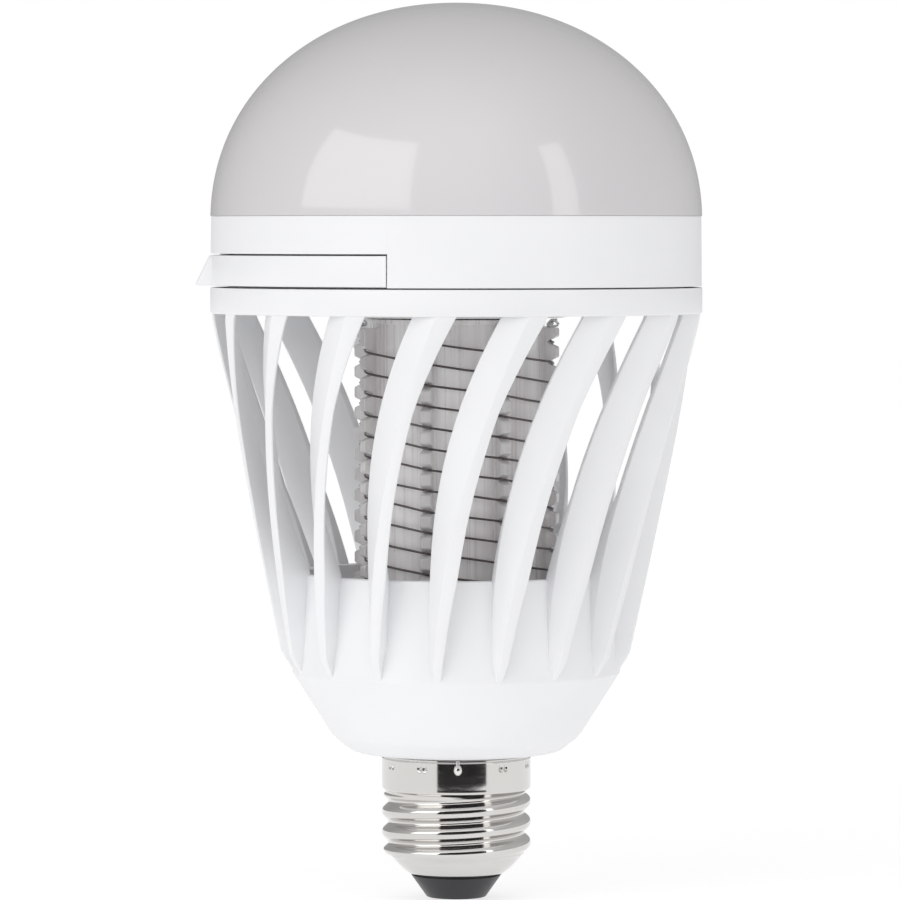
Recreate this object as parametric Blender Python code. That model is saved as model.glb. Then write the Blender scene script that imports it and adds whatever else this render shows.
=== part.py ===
"""LED bulb with a built-in electric bug zapper, standing on its screw cap with the light dome upwards.

The origin is the tip of the centre contact, +Z runs up the bulb's axis to the dome and the front faces -Y.
Angles are in degrees around +Z, counted from the front towards +X.
"""

import math

import bmesh
import bpy
from mathutils import Matrix, Vector

MM = 0.001
SEAT_GAP = 0.25 * MM
FULL_TURN = 360.0

# Screw cap, Edison E26
SHELL_BOTTOM = 4.4 * MM
SHELL_TOP = 25.4 * MM
SHELL_CONE_RADIUS = 8.4 * MM
SHELL_CONE_TOP = 7.7 * MM
SHELL_PLAIN_RADIUS = 13.15 * MM
SHELL_PLAIN_BOTTOM = 19.4 * MM
SHELL_WALL = 0.45 * MM
THREAD_CREST_RADIUS = 13.1 * MM
THREAD_ROOT_RADIUS = 12.0 * MM
THREAD_PITCH = 3.63 * MM
THREAD_START = 8.9 * MM
THREAD_ROWS = 15
INSULATOR_BOTTOM = 0.15 * MM
INSULATOR_BOTTOM_RADIUS = 5.2 * MM
INSULATOR_TOP_RADIUS = 8.0 * MM
CONTACT_RADIUS = 3.4 * MM
CONTACT_STEM_RADIUS = 1.3 * MM

# Moulded housing: bowl, drum, fins and top ring
NECK_RADIUS = 12.35 * MM
NECK_BORE = 10.4 * MM
NECK_BOTTOM = 20.0 * MM
BOWL_BOTTOM = 25.9 * MM
BOWL_CONE_RADIUS = 22.2 * MM
BOWL_CONE_HEIGHT = 29.4 * MM
DRUM_FOOT_RADIUS = 28.8 * MM
DRUM_FOOT_HEIGHT = 40.0 * MM
DRUM_RIM_RADIUS = 28.2 * MM
DRUM_RIM_HEIGHT = 57.6 * MM
DRUM_BORE = 26.6 * MM
COVER_LEDGE_HEIGHT = 45.2 * MM
COVER_LEDGE_RADIUS = 24.8 * MM
RING_RADIUS = 43.15 * MM
RING_BORE = 40.3 * MM
RING_BOTTOM = 102.9 * MM
RING_TOP = 107.45 * MM

FIN_COUNT = 17
FIN_FIRST_ANGLE = -28.78
FIN_BOTTOM = 38.6 * MM
FIN_TIP = 39.5 * MM
FIN_TOP = 104.0 * MM
FIN_SPAN = 62.6 * MM
FIN_STATIONS = 11
FIN_SWEEP = 23.7
FIN_SWEEP_POWER = 1.5
FIN_CORNER_HEIGHT = 43.4 * MM
FIN_CORNER_RADIUS = 30.83 * MM
FIN_OUTER_SLOPE = 0.205
FIN_TOE_SLOPE = 0.64
FIN_ROOT_RADIUS = 27.4 * MM

# Zapper grid
GRID_POSTS = 8
GRID_FIRST_POST = -17.0
GRID_BOTTOM = 47.3 * MM
GRID_TOP = 101.0 * MM
TUBE_TOP = 101.95 * MM
TUBE_RADIUS = 15.5 * MM
TUBE_BORE = 14.1 * MM
POST_WIDTH = 1.83 * MM
POST_RADIUS = 18.6 * MM
NOTCH_RADIUS = 16.6 * MM
NOTCH_HALF_HEIGHT = 0.95 * MM
NOTCH_PITCH = 3.64 * MM
NOTCHES = 14
FIRST_NOTCH = 50.7 * MM
GRID_WIRES = 4
WIRE_RADIUS = 0.2 * MM
WIRE_RING_RADIUS = 17.8 * MM

# Driver bay in the bowl
COVER_RADIUS = 26.2 * MM
COVER_THICKNESS = 1.5 * MM
BOSS_RING = 22.0 * MM
BOSS_RADIUS = 2.3 * MM
BOSS_ANGLES = (60.0, 180.0, 300.0)
DRIVER_BOARD_RADIUS = 22.5 * MM
DRIVER_BOARD_HEIGHT = 35.2 * MM
BOARD_THICKNESS = 1.2 * MM

# Collar, brush and light dome
COLLAR_BOTTOM = 107.7 * MM
COLLAR_TOP = 119.9 * MM
COLLAR_RADIUS = 43.05 * MM
COLLAR_WALL = 1.85 * MM
CHANNEL_TOP = 113.4 * MM
CHANNEL_BORE = 38.7 * MM
CHANNEL_INNER_RADIUS = 37.2 * MM
WEB_TOP = 115.0 * MM
COLLAR_FLOOR_TOP = 109.2 * MM
LEAD_HOLE_RADIUS = 3.5 * MM
BRUSH_START = -103.0
BRUSH_END = -15.7
BRUSH_MIDDLE = 0.5 * (BRUSH_START + BRUSH_END)
BRUSH_HEAD_HALF_ANGLE = 10.5
TAB_ANGLE = -90.0
TAB_HALF_WIDTH = 6.5
TAB_REACH = 2.8 * MM
TUFTS = 5
TUFT_PITCH = 2.9 * MM
TUFT_RADIUS = 1.05 * MM
TUFT_HEIGHT = 110.9 * MM
TUFT_OUTER = 38.6 * MM
TUFT_LENGTH = 11.5 * MM
DOME_RADIUS = 43.1 * MM
DOME_CENTRE = 119.0 * MM
DOME_HEIGHT = 38.2 * MM
DOME_FULLNESS = 2.08
DOME_WALL = 1.6 * MM
DOME_SKIRT_RADIUS = 40.6 * MM
DOME_SKIRT_BOTTOM = 117.4 * MM
HEAT_PLATE_RADIUS = 38.6 * MM
LED_BOARD_RADIUS = 34.0 * MM
WHITE_LEDS = 9
WHITE_LED_RING = 23.0 * MM
UV_LEDS = 4
UV_LED_RING = 11.6 * MM
UV_FIRST_ANGLE = -67.0
UV_BOARD_RADIUS = 19.0 * MM
UV_BOARD_BOTTOM = 102.2 * MM

ROUND_STEPS = 40
HOUSING_STEPS = FIN_COUNT * 3


def clear_scene():
    for item in list(bpy.data.objects):
        bpy.data.objects.remove(item, do_unlink=True)


def make_material(name, colour, roughness, metallic=0.0, transmission=0.0):
    material = bpy.data.materials.new(name)
    material.use_nodes = True
    shader = material.node_tree.nodes["Principled BSDF"]
    shader.inputs["Base Color"].default_value = (*colour, 1.0)
    shader.inputs["Roughness"].default_value = roughness
    shader.inputs["Metallic"].default_value = metallic
    shader.inputs["Transmission Weight"].default_value = transmission
    material.diffuse_color = (*colour, 1.0)
    return material


def polar(radius, angle, height):
    turn = math.radians(angle)
    return Vector((radius * math.sin(turn), -radius * math.cos(turn), height))


def add_object(name, bm, material=None):
    """Turns the bmesh into an object with its faces pointing out."""
    bmesh.ops.remove_doubles(bm, verts=bm.verts, dist=1e-7)
    bmesh.ops.recalc_face_normals(bm, faces=bm.faces)
    mesh = bpy.data.meshes.new(name)
    bm.to_mesh(mesh)
    bm.free()
    mesh.shade_smooth()
    mesh.set_sharp_from_angle(angle=math.radians(32))
    if material:
        mesh.materials.append(material)
    part = bpy.data.objects.new(name, mesh)
    bpy.context.collection.objects.link(part)
    return part


def add_loft(bm, sections, closed=False):
    """Joins point loops of equal length, and caps the two ends unless the row of loops closes on itself."""
    loops = [[bm.verts.new(point) for point in section] for section in sections]
    pairs = list(zip(loops, loops[1:]))
    if closed:
        pairs.append((loops[-1], loops[0]))
    else:
        bm.faces.new(loops[0])
        bm.faces.new(loops[-1])
    size = len(loops[0])
    for low, high in pairs:
        for i in range(size):
            j = (i + 1) % size
            bm.faces.new((low[i], low[j], high[j], high[i]))


def turned(name, outline_at, material=None, steps=ROUND_STEPS, start=0.0, end=FULL_TURN):
    """Turns the closed outline of (radius, height) points, which may change with the angle, about Z."""
    full = end - start >= FULL_TURN
    stops = steps if full else steps + 1
    angles = [start + (end - start) * i / steps for i in range(stops)]
    sections = [[polar(r, angle, z) for r, z in outline_at(angle)] for angle in angles]
    bm = bmesh.new()
    add_loft(bm, sections, closed=full)
    return add_object(name, bm, material)


def turned_about(name, outline, centre, material=None, steps=12, tilt=None):
    """Turns an outline about its own upright axis and moves it to its place."""
    part = turned(name, lambda angle: outline, material, steps)
    placing = Matrix.Translation(centre)
    if tilt is not None:
        placing = placing @ tilt
    part.matrix_world = placing
    return part


def rod_outline(radius, bottom, top):
    return [(0.0, bottom), (radius, bottom), (radius, top), (0.0, top)]


def add_block(name, size, centre, material=None, angle=0.0, bevel=0.0):
    bm = bmesh.new()
    bmesh.ops.create_cube(bm, size=1.0)
    bmesh.ops.scale(bm, vec=size, verts=bm.verts)
    if bevel:
        bmesh.ops.bevel(bm, geom=bm.edges, offset=bevel, segments=1, affect="EDGES")
    part = add_object(name, bm, material)
    part.location = centre
    part.rotation_euler = (0.0, 0.0, math.radians(angle))
    return part


def add_lead(name, points, radius, material, bevel_resolution=1):
    """A round wire along straight stretches between the points."""
    curve = bpy.data.curves.new(name, "CURVE")
    curve.dimensions = "3D"
    curve.bevel_depth = radius
    curve.bevel_resolution = bevel_resolution
    curve.use_fill_caps = True
    spline = curve.splines.new("POLY")
    spline.points.add(len(points) - 1)
    for knot, point in zip(spline.points, points):
        knot.co = (*point, 1.0)
    curve.materials.append(material)
    part = bpy.data.objects.new(name, curve)
    bpy.context.collection.objects.link(part)
    return part


def combine(part, operation, helper):
    """Adds or cuts the helper with a Boolean, and leaves the helper as a hidden guide."""
    helper.hide_render = True
    helper.display_type = "WIRE"
    boolean = part.modifiers.new(f"{operation.lower()} {helper.name}", "BOOLEAN")
    boolean.operation = operation
    boolean.object = helper
    boolean.solver = "EXACT"


def smooth_step(low, high, value):
    share = min(1.0, max(0.0, (value - low) / (high - low)))
    return share * share * (3.0 - 2.0 * share)


def screw_shell(material):
    """The threaded metal shell: a short cone, the rolled thread and a plain collar."""
    mid = 0.5 * (THREAD_CREST_RADIUS + THREAD_ROOT_RADIUS)
    depth = 0.5 * (THREAD_CREST_RADIUS - THREAD_ROOT_RADIUS)
    rows = [SHELL_CONE_TOP + (SHELL_PLAIN_BOTTOM - SHELL_CONE_TOP) * i / THREAD_ROWS
            for i in range(THREAD_ROWS + 1)]
    inner_thread = THREAD_ROOT_RADIUS - SHELL_WALL
    inner_plain = SHELL_PLAIN_RADIUS - SHELL_WALL
    inner_cone = SHELL_CONE_RADIUS - SHELL_WALL

    def outline(angle):
        outer = [(SHELL_CONE_RADIUS, SHELL_BOTTOM)]
        for z in rows:
            wave = math.cos(2 * math.pi * ((z - THREAD_START) / THREAD_PITCH - angle / FULL_TURN))
            fade_in = smooth_step(SHELL_CONE_TOP - THREAD_PITCH / 4, SHELL_CONE_TOP + THREAD_PITCH / 4, z)
            fade_out = 1 - smooth_step(SHELL_PLAIN_BOTTOM - THREAD_PITCH / 2, SHELL_PLAIN_BOTTOM, z)
            outer.append((mid + depth * wave * fade_in * fade_out, z))
        outer += [(SHELL_PLAIN_RADIUS, SHELL_PLAIN_BOTTOM + 0.6 * MM), (SHELL_PLAIN_RADIUS, SHELL_TOP)]
        inner = [(inner_plain, SHELL_TOP), (inner_plain, SHELL_PLAIN_BOTTOM + 0.3 * MM),
                 (inner_thread, SHELL_PLAIN_BOTTOM - 0.9 * MM), (inner_thread, SHELL_CONE_TOP + 0.4 * MM),
                 (inner_cone, SHELL_BOTTOM)]
        return outer + inner

    return turned("screw_shell", outline, material, steps=30)


def cap_parts(black, metal, solder):
    """The glass-black insulator, the centre contact rivet and the solder dot that joins the shell's lead."""
    recess = 0.75 * MM
    inside_radius = SHELL_CONE_RADIUS - SHELL_WALL - SEAT_GAP
    insulator = [
        (CONTACT_STEM_RADIUS + SEAT_GAP, recess + SEAT_GAP), (CONTACT_RADIUS + SEAT_GAP, recess + SEAT_GAP),
        (CONTACT_RADIUS + SEAT_GAP, INSULATOR_BOTTOM), (INSULATOR_BOTTOM_RADIUS, INSULATOR_BOTTOM),
        (INSULATOR_TOP_RADIUS, SHELL_BOTTOM - SEAT_GAP), (inside_radius - 0.4 * MM, SHELL_BOTTOM - SEAT_GAP),
        (inside_radius - 0.4 * MM, SHELL_BOTTOM + 1.2 * MM),
        (CONTACT_STEM_RADIUS + SEAT_GAP, SHELL_BOTTOM + 1.2 * MM),
    ]
    turned("base_insulator", lambda angle: insulator, black, steps=24)
    contact = [(0.0, 0.0), (CONTACT_RADIUS, 0.0), (CONTACT_RADIUS, recess), (CONTACT_STEM_RADIUS, recess),
               (CONTACT_STEM_RADIUS, SHELL_BOTTOM + 1.8 * MM), (0.0, SHELL_BOTTOM + 1.8 * MM)]
    turned("centre_contact", lambda angle: contact, metal, steps=24)
    dot = [(0.0, 0.0), (0.95 * MM, 0.0), (0.8 * MM, 0.45 * MM), (0.35 * MM, 0.75 * MM), (0.0, 0.8 * MM)]
    facing_front = Matrix.Rotation(math.radians(90), 4, "X")
    place = polar(SHELL_PLAIN_RADIUS + 0.12 * MM, 1.0, 23.8 * MM)
    turned_about("shell_solder_dot", dot, place, solder, steps=10, tilt=facing_front)


def fin_outer_radius(height):
    if height < FIN_CORNER_HEIGHT:
        return FIN_CORNER_RADIUS - FIN_TOE_SLOPE * (FIN_CORNER_HEIGHT - height)
    return min(FIN_CORNER_RADIUS + FIN_OUTER_SLOPE * (height - FIN_CORNER_HEIGHT), RING_RADIUS - 0.3 * MM)


def fin_section(height, first_angle):
    """One level of a fin: its outer land, its wide slanting flank, and the edge that faces the grid."""
    share = max(0.0, (height - FIN_TIP) / FIN_SPAN)
    outer = fin_outer_radius(height)
    left = first_angle + FIN_SWEEP * share ** FIN_SWEEP_POWER
    land = (1.2 + 1.3 * min(1.0, share / 0.3) ** 0.8 + 2.0 * max(0.0, (share - 0.75) / 0.25) ** 1.3) * MM
    right = left + math.degrees(land / outer)
    flank_turn = 0.5 + 7.0 * math.sin(0.5 * math.pi * share / 0.7)
    rise = math.sin(0.5 * math.pi * min(1.0, (share / 0.4) ** 0.6))
    depth = (0.4 + 3.2 * rise - 1.5 * max(0.0, (share - 0.4) / 0.6)) * MM
    flank = max(outer - depth, FIN_ROOT_RADIUS + 0.4 * MM)
    climb = FIN_ROOT_RADIUS + 0.36 * max(0.0, height - DRUM_RIM_HEIGHT)
    edge = min(climb, flank - 0.8 * MM) if height > DRUM_RIM_HEIGHT else min(FIN_ROOT_RADIUS, flank - 0.3 * MM)
    edge_width = (1.3 + 1.4 * (1 - smooth_step(55.0 * MM, 70.0 * MM, height))) * min(1.0, 0.3 + share / 0.15) * MM
    edge_right = left - flank_turn + math.degrees(edge_width / edge)
    corners = ((outer, right), (outer, left), (flank, left - flank_turn), (edge, left - flank_turn),
               (edge, edge_right))
    return [polar(radius, angle, height) for radius, angle in corners]


def housing(material):
    """The one moulding that holds the others: bowl and drum, seventeen swept fins and the top ring."""
    outline = [
        (NECK_RADIUS, NECK_BOTTOM), (NECK_RADIUS, BOWL_BOTTOM), (14.5 * MM, BOWL_BOTTOM),
        (17.0 * MM, 26.1 * MM), (19.1 * MM, 26.7 * MM), (20.8 * MM, 27.8 * MM),
        (BOWL_CONE_RADIUS, BOWL_CONE_HEIGHT), (DRUM_FOOT_RADIUS, DRUM_FOOT_HEIGHT),
        (DRUM_RIM_RADIUS, DRUM_RIM_HEIGHT), (DRUM_BORE, DRUM_RIM_HEIGHT), (DRUM_BORE, COVER_LEDGE_HEIGHT),
        (COVER_LEDGE_RADIUS, COVER_LEDGE_HEIGHT), (COVER_LEDGE_RADIUS, 38.6 * MM), (20.9 * MM, 31.2 * MM),
        (16.5 * MM, 27.6 * MM), (NECK_BORE, 26.8 * MM), (NECK_BORE, NECK_BOTTOM),
    ]
    body = turned("fin_cage_housing", lambda angle: outline, material, steps=HOUSING_STEPS)

    heights = [FIN_BOTTOM + (FIN_TOP - FIN_BOTTOM) * (i / (FIN_STATIONS - 1)) for i in range(FIN_STATIONS)]
    bm = bmesh.new()
    for fin in range(FIN_COUNT):
        first_angle = FIN_FIRST_ANGLE + fin * FULL_TURN / FIN_COUNT
        add_loft(bm, [fin_section(height, first_angle) for height in heights])
    combine(body, "UNION", add_object("fin_blanks", bm))

    ring = [(RING_BORE, RING_BOTTOM + 0.1 * MM), (RING_RADIUS, RING_BOTTOM), (RING_RADIUS, RING_TOP),
            (RING_BORE, RING_TOP)]
    combine(body, "UNION", turned("ring_blank", lambda angle: ring, steps=HOUSING_STEPS))

    bosses = bmesh.new()
    pilots = bmesh.new()
    for angle in BOSS_ANGLES:
        for bm, radius, low, high in ((bosses, BOSS_RADIUS, 31.6, 45.0), (pilots, 0.95 * MM, 37.0, 46.0)):
            place = polar(BOSS_RING, angle, 0.5 * (low + high) * MM)
            bmesh.ops.create_cone(bm, cap_ends=True, segments=10, radius1=radius, radius2=radius,
                                  depth=(high - low) * MM, matrix=Matrix.Translation(place))
    combine(body, "UNION", add_object("boss_blanks", bosses))
    combine(body, "DIFFERENCE", add_object("pilot_hole_cutters", pilots))


def driver_bay(white, board_green, black, yellow, blue, aluminium, grey, steel):
    """The cover that closes the bowl, its screws, and the driver board with its components."""
    cover_bottom = COVER_LEDGE_HEIGHT + SEAT_GAP
    cover_top = cover_bottom + COVER_THICKNESS
    plate = [(LEAD_HOLE_RADIUS, cover_bottom), (COVER_RADIUS, cover_bottom), (COVER_RADIUS, cover_top),
             (LEAD_HOLE_RADIUS, cover_top)]
    cover = turned("driver_bay_cover", lambda angle: plate, white)
    holes = bmesh.new()
    notches = bmesh.new()
    for angle in BOSS_ANGLES:
        hole_place = Matrix.Translation(polar(BOSS_RING, angle, cover_bottom))
        bmesh.ops.create_cone(holes, cap_ends=True, segments=10, radius1=1.2 * MM, radius2=1.2 * MM,
                              depth=6 * MM, matrix=hole_place)
        notch_place = Matrix.Translation(polar(BOSS_RING, angle, DRIVER_BOARD_HEIGHT))
        bmesh.ops.create_cone(notches, cap_ends=True, segments=10, radius1=2.7 * MM, radius2=2.7 * MM,
                              depth=6 * MM, matrix=notch_place)
    combine(cover, "DIFFERENCE", add_object("cover_hole_cutters", holes))
    for number, angle in enumerate(BOSS_ANGLES, 1):
        add_screw(f"cover_screw_{number}", polar(BOSS_RING, angle, cover_top + SEAT_GAP), 6.5 * MM, steel)

    disc = rod_outline(DRIVER_BOARD_RADIUS, DRIVER_BOARD_HEIGHT, DRIVER_BOARD_HEIGHT + BOARD_THICKNESS)
    board = turned("driver_board", lambda angle: disc, board_green)
    combine(board, "DIFFERENCE", add_object("board_notch_cutters", notches))

    above = DRIVER_BOARD_HEIGHT + BOARD_THICKNESS + SEAT_GAP
    below = DRIVER_BOARD_HEIGHT - SEAT_GAP
    add_block("hv_transformer", (11 * MM, 9.5 * MM, 7.6 * MM), (-8 * MM, 6 * MM, above + 3.8 * MM), yellow,
              bevel=0.5 * MM)
    add_block("hv_capacitor_1", (10 * MM, 3.6 * MM, 7.2 * MM), (6 * MM, 10 * MM, above + 3.6 * MM), blue,
              bevel=0.6 * MM)
    add_block("hv_capacitor_2", (10 * MM, 3.6 * MM, 7.2 * MM), (6 * MM, 4.6 * MM, above + 3.6 * MM), blue,
              bevel=0.6 * MM)
    turned_about("input_capacitor", rod_outline(4 * MM, -7.0 * MM, 0.0), (5 * MM, -3 * MM, below), aluminium,
                 steps=16)
    add_block("bridge_rectifier", (4.6 * MM, 3.8 * MM, 2.2 * MM), (9 * MM, -11 * MM, above + 1.1 * MM), black,
              bevel=0.2 * MM)
    along_x = Matrix.Rotation(math.radians(90), 4, "Y")
    turned_about("fuse_resistor", rod_outline(1.5 * MM, -4 * MM, 4 * MM), (-7 * MM, -8 * MM, above + 1.6 * MM),
                 grey, steps=12, tilt=along_x)
    choke = [(1.2 * MM, -5.5 * MM), (3.6 * MM, -5.5 * MM), (3.6 * MM, 0.0), (1.2 * MM, 0.0)]
    turned_about("filter_choke", choke, (-7 * MM, 2 * MM, below), black, steps=16)


def add_screw(name, head_seat, length, material):
    """A pan-head screw that points down from its seat."""
    outline = [(0.0, -length), (0.65 * MM, -length), (0.65 * MM, 0.0), (1.7 * MM, 0.0), (1.7 * MM, 0.45 * MM),
               (1.2 * MM, 1.0 * MM), (0.0, 1.15 * MM)]
    turned_about(name, outline, head_seat, material, steps=10)


def grid_frame(clear):
    """The clear tube with eight toothed posts that space the electrode wires."""
    wall = [(TUBE_BORE, GRID_BOTTOM), (TUBE_RADIUS, GRID_BOTTOM), (TUBE_RADIUS, TUBE_TOP), (TUBE_BORE, TUBE_TOP)]
    tube = turned("grid_frame", lambda angle: wall, clear, steps=GRID_POSTS * 4)
    bm = bmesh.new()
    for post in range(GRID_POSTS):
        angle = GRID_FIRST_POST + post * FULL_TURN / GRID_POSTS
        add_loft(bm, post_faces(angle, post % 2))
    combine(tube, "UNION", add_object("post_blanks", bm))


def notch_height(index, offset):
    return FIRST_NOTCH + NOTCH_PITCH * (index + 0.5 * offset)


def post_faces(angle, offset):
    """The two side faces of a post. Every second post has its notches half a pitch higher."""
    root = TUBE_RADIUS - 0.7 * MM
    outline = [(root, GRID_BOTTOM + 0.4 * MM), (POST_RADIUS - 1.0 * MM, GRID_BOTTOM + 0.4 * MM)]
    for index in range(NOTCHES - offset):
        height = notch_height(index, offset)
        outline += [(POST_RADIUS, height - NOTCH_HALF_HEIGHT), (NOTCH_RADIUS, height),
                    (POST_RADIUS, height + NOTCH_HALF_HEIGHT)]
    outline += [(POST_RADIUS, GRID_TOP - 1.6 * MM), (POST_RADIUS - 0.8 * MM, GRID_TOP - 0.6 * MM),
                (root, GRID_TOP - 0.6 * MM)]
    sideways = polar(1.0, angle + 90.0, 0.0) * (POST_WIDTH / 2)
    return [[polar(r, angle, z) + side * sideways for r, z in outline] for side in (-1, 1)]


def grid_wires(metal):
    """Four bare wires wound side by side: each climbs half a notch pitch from post to post."""
    steps = (NOTCHES - 1) * 2
    for wire in range(GRID_WIRES):
        points = []
        for step in range(steps + 1):
            angle = GRID_FIRST_POST + wire * FULL_TURN / GRID_WIRES - step * FULL_TURN / GRID_POSTS
            points.append(polar(WIRE_RING_RADIUS, angle, FIRST_NOTCH + 0.5 * NOTCH_PITCH * step))
        add_lead(f"grid_wire_{wire + 1}", points, WIRE_RADIUS, metal)


def grid_top(white, board_white, led_violet, metal, steel):
    """The holder under the collar, the ultraviolet board with its chips, and the two high-voltage tabs."""
    board_top = UV_BOARD_BOTTOM + BOARD_THICKNESS
    holder = [(LEAD_HOLE_RADIUS, board_top + SEAT_GAP), (UV_BOARD_RADIUS + 1.2 * MM, board_top + SEAT_GAP),
              (UV_BOARD_RADIUS + 1.2 * MM, COLLAR_BOTTOM - SEAT_GAP), (LEAD_HOLE_RADIUS, COLLAR_BOTTOM - SEAT_GAP)]
    turned("grid_holder", lambda angle: holder, white, steps=24)
    ring = [(LEAD_HOLE_RADIUS, UV_BOARD_BOTTOM), (UV_BOARD_RADIUS, UV_BOARD_BOTTOM),
            (UV_BOARD_RADIUS, board_top), (LEAD_HOLE_RADIUS, board_top)]
    turned("uv_led_board", lambda angle: ring, board_white, steps=24)
    for chip in range(UV_LEDS):
        angle = UV_FIRST_ANGLE + chip * FULL_TURN / UV_LEDS
        place = polar(UV_LED_RING, angle, UV_BOARD_BOTTOM - SEAT_GAP - 0.4 * MM)
        add_block(f"uv_led_{chip + 1}", (2.8 * MM, 1.6 * MM, 0.8 * MM), place, led_violet, angle)
    for number, angle in enumerate((GRID_FIRST_POST + 90.0, GRID_FIRST_POST - 90.0), 1):
        place = polar(17.3 * MM, angle, GRID_TOP + 0.55 * MM)
        add_block(f"hv_tab_{number}", (3.0 * MM, 2.6 * MM, 0.6 * MM), place, metal, angle)


def leads(red, black, white_wire):
    """The insulated leads between the cap, the driver board and the two light boards."""
    led_bottom = DRIVER_BOARD_HEIGHT + BOARD_THICKNESS + SEAT_GAP
    led_top = 116.2 * MM
    for name, x, material in (("led_lead_positive", 1.2 * MM, red), ("led_lead_negative", -1.2 * MM, black)):
        points = [(x, -0.6 * MM, led_bottom), (x, -0.6 * MM, 60 * MM), (x, -0.6 * MM, 90 * MM), (x, -0.6 * MM, led_top)]
        add_lead(name, points, 0.8 * MM, material)
    cap_top = DRIVER_BOARD_HEIGHT - SEAT_GAP
    centre_route = [(0.0, 0.0, SHELL_BOTTOM + 2.1 * MM), (0.0, 0.0, 14 * MM), (-1.5 * MM, -4 * MM, 24 * MM),
                    (-2 * MM, -6 * MM, cap_top)]
    add_lead("centre_contact_lead", centre_route, 0.7 * MM, black)
    shell_route = [(0.0, -9.4 * MM, 21.0 * MM), (0.0, -9.2 * MM, 25 * MM), (-5 * MM, -9 * MM, 30 * MM),
                   (-6 * MM, -9 * MM, cap_top)]
    add_lead("shell_lead", shell_route, 0.7 * MM, white_wire)
    cover_top = COVER_LEDGE_HEIGHT + SEAT_GAP + COVER_THICKNESS
    for number, y in enumerate((2.1 * MM, -2.6 * MM), 1):
        points = [(0.0, y, led_bottom), (0.0, y, cover_top + 4 * MM), (0.0, y, UV_BOARD_BOTTOM - 0.4 * MM)]
        add_lead(f"hv_lead_{number}", points, 0.55 * MM, white_wire)


def collar(white):
    """The collar under the dome, with the channel and window that store the cleaning brush."""
    spigot_radius = RING_BORE - 0.4 * MM
    spigot_bottom = 104.8 * MM
    inner_wall = COLLAR_RADIUS - COLLAR_WALL
    outline = [
        (LEAD_HOLE_RADIUS, COLLAR_BOTTOM), (CHANNEL_INNER_RADIUS, COLLAR_BOTTOM),
        (CHANNEL_INNER_RADIUS, spigot_bottom), (spigot_radius, spigot_bottom), (spigot_radius, COLLAR_BOTTOM),
        (CHANNEL_BORE, COLLAR_BOTTOM), (CHANNEL_BORE, CHANNEL_TOP), (inner_wall, CHANNEL_TOP),
        (inner_wall, COLLAR_BOTTOM), (COLLAR_RADIUS, COLLAR_BOTTOM), (COLLAR_RADIUS - 0.15 * MM, COLLAR_TOP),
        (inner_wall, COLLAR_TOP), (inner_wall, WEB_TOP), (CHANNEL_INNER_RADIUS, WEB_TOP),
        (CHANNEL_INNER_RADIUS, COLLAR_FLOOR_TOP), (LEAD_HOLE_RADIUS, COLLAR_FLOOR_TOP),
    ]
    body = turned("collar_ring", lambda angle: outline, white)
    window = [(inner_wall - 0.6 * MM, COLLAR_BOTTOM - 1 * MM), (COLLAR_RADIUS + 2 * MM, COLLAR_BOTTOM - 1 * MM),
              (COLLAR_RADIUS + 2 * MM, CHANNEL_TOP - 0.02 * MM), (inner_wall - 0.6 * MM, CHANNEL_TOP - 0.02 * MM)]
    combine(body, "DIFFERENCE", turned("brush_window_cutter", lambda angle: window, steps=18,
                                       start=BRUSH_START, end=BRUSH_END))
    width = (TUFTS - 1) * TUFT_PITCH + 2 * TUFT_RADIUS + 1.6 * MM
    opening = add_block("bristle_window_cutter", (width, 4 * MM, 3.6 * MM),
                        polar(37.8 * MM, BRUSH_MIDDLE, TUFT_HEIGHT), angle=BRUSH_MIDDLE)
    combine(body, "DIFFERENCE", opening)


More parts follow.
